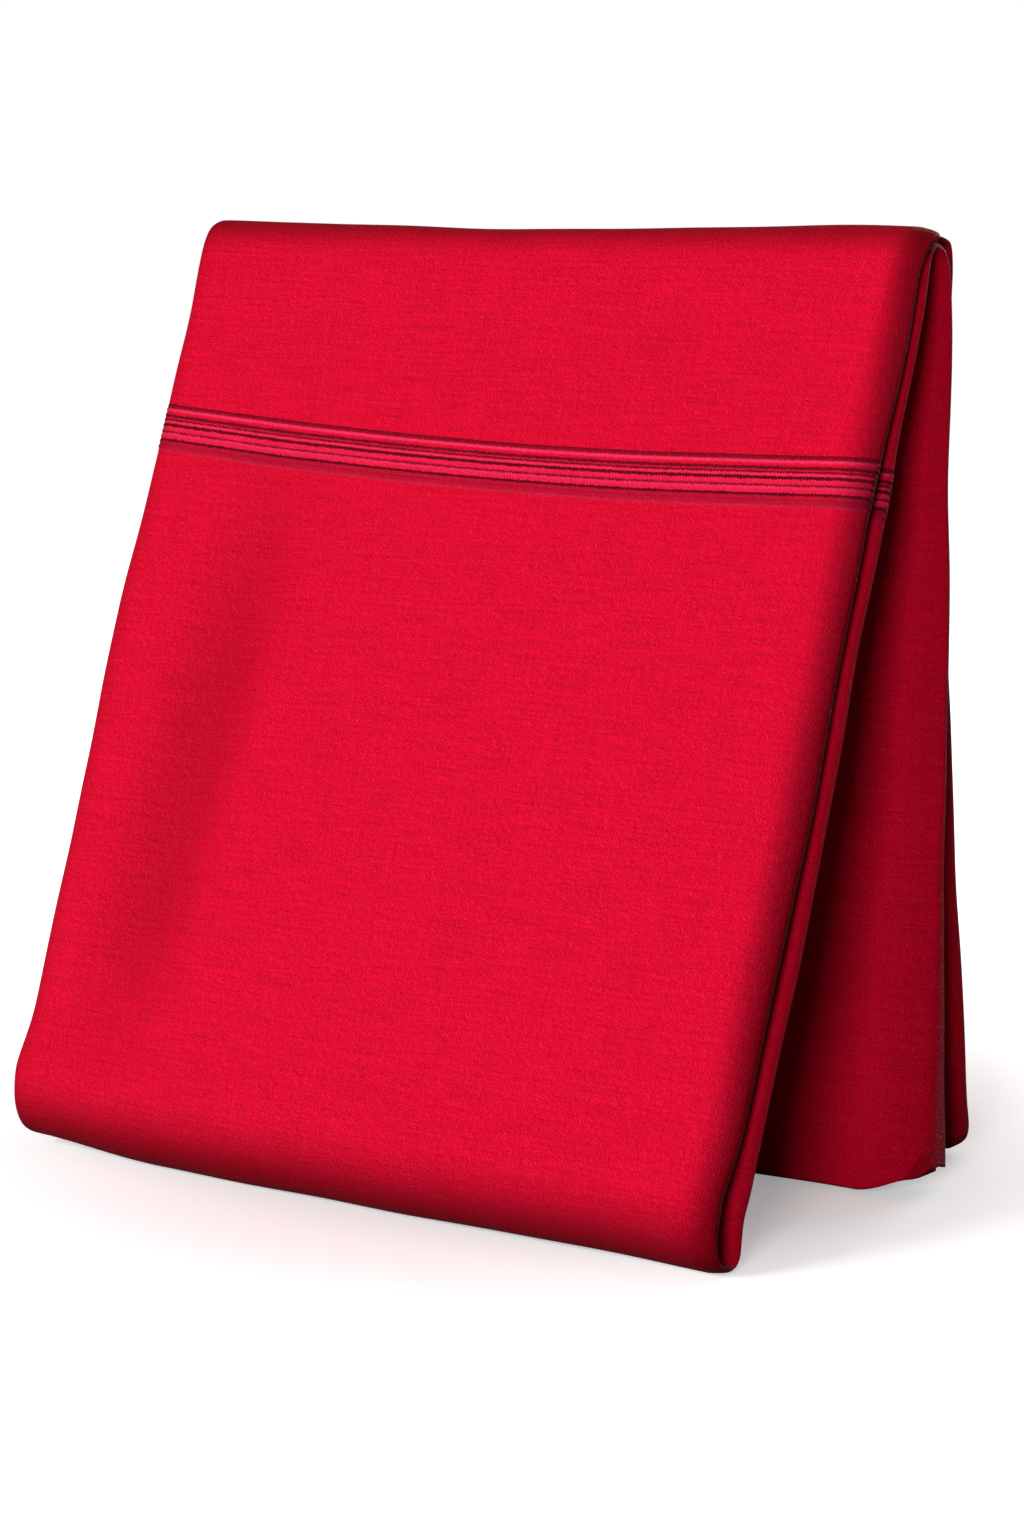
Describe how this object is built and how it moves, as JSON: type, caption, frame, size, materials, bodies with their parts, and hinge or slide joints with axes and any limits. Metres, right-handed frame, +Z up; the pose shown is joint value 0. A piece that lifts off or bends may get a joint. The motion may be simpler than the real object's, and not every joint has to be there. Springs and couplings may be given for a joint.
{
  "type": "folded cotton cloth",
  "caption": "Length of woven cotton cloth with a border band, folded into a thick bundle, folded again and stood up as an A-frame tent with a doubled back.",
  "frame": {"origin": "middle of the base, on the surface the cloth stands on", "axes": "+Z up, +X along the ridge, -Y towards the leaning front face with the border band"},
  "size_m": [0.2973, 0.188, 0.3125],
  "materials": {
    "cloth": "plain woven cotton, crimson, matte with a soft sheen",
    "border": "woven border band, maroon with pink stripes"
  },
  "bodies": {
    "front_leg": {"front_bottom_fold": "cloth", "front_inner_border_band": "border", "front_inner_hem_7": "cloth", "front_inner_hem_8": "cloth", "front_inner_left_crease_1_4": "cloth", "front_inner_left_crease_2_3": "cloth", "front_inner_left_crease_5_6": "cloth", "front_inner_ply_pair_1_8": "cloth", "front_inner_ply_pair_2_7": "cloth", "front_inner_ply_pair_3_6": "cloth", "front_inner_ply_pair_4_5": "cloth", "front_outer_border_band": "border", "front_outer_hem_7": "cloth", "front_outer_hem_8": "cloth", "front_outer_left_crease_1_4": "cloth", "front_outer_left_crease_2_3": "cloth", "front_outer_left_crease_5_6": "cloth", "front_outer_ply_pair_1_8": "cloth", "front_outer_ply_pair_2_7": "cloth", "front_outer_ply_pair_3_6": "cloth", "front_outer_ply_pair_4_5": "cloth", "inner_ridge_fold": "cloth", "outer_ridge_fold": "cloth"},
    "back_inner_leg": {"back_inner_hem_7": "cloth", "back_inner_hem_8": "cloth", "back_inner_left_crease_1_4": "cloth", "back_inner_left_crease_2_3": "cloth", "back_inner_left_crease_5_6": "cloth", "back_inner_ply_pair_1_8": "cloth", "back_inner_ply_pair_2_7": "cloth", "back_inner_ply_pair_3_6": "cloth", "back_inner_ply_pair_4_5": "cloth"},
    "back_outer_leg": {"back_outer_hem_7": "cloth", "back_outer_hem_8": "cloth", "back_outer_left_crease_1_4": "cloth", "back_outer_left_crease_2_3": "cloth", "back_outer_left_crease_5_6": "cloth", "back_outer_ply_pair_1_8": "cloth", "back_outer_ply_pair_2_7": "cloth", "back_outer_ply_pair_3_6": "cloth", "back_outer_ply_pair_4_5": "cloth"}
  },
  "joints": [
    {"name": "ridge_fold", "type": "hinge", "parent": "front_leg", "child": "back_inner_leg", "pos_m": [0, 0.0318, 0.305], "axis": [1, 0, 0], "range_deg": [-15, 135], "deforming": ["inner_ridge_fold", "outer_ridge_fold"]},
    {"name": "back_flap_fan", "type": "hinge", "parent": "back_inner_leg", "child": "back_outer_leg", "pos_m": [0, 0.0318, 0.305], "axis": [1, 0, 0], "range_deg": [0, 22]}
  ]
}
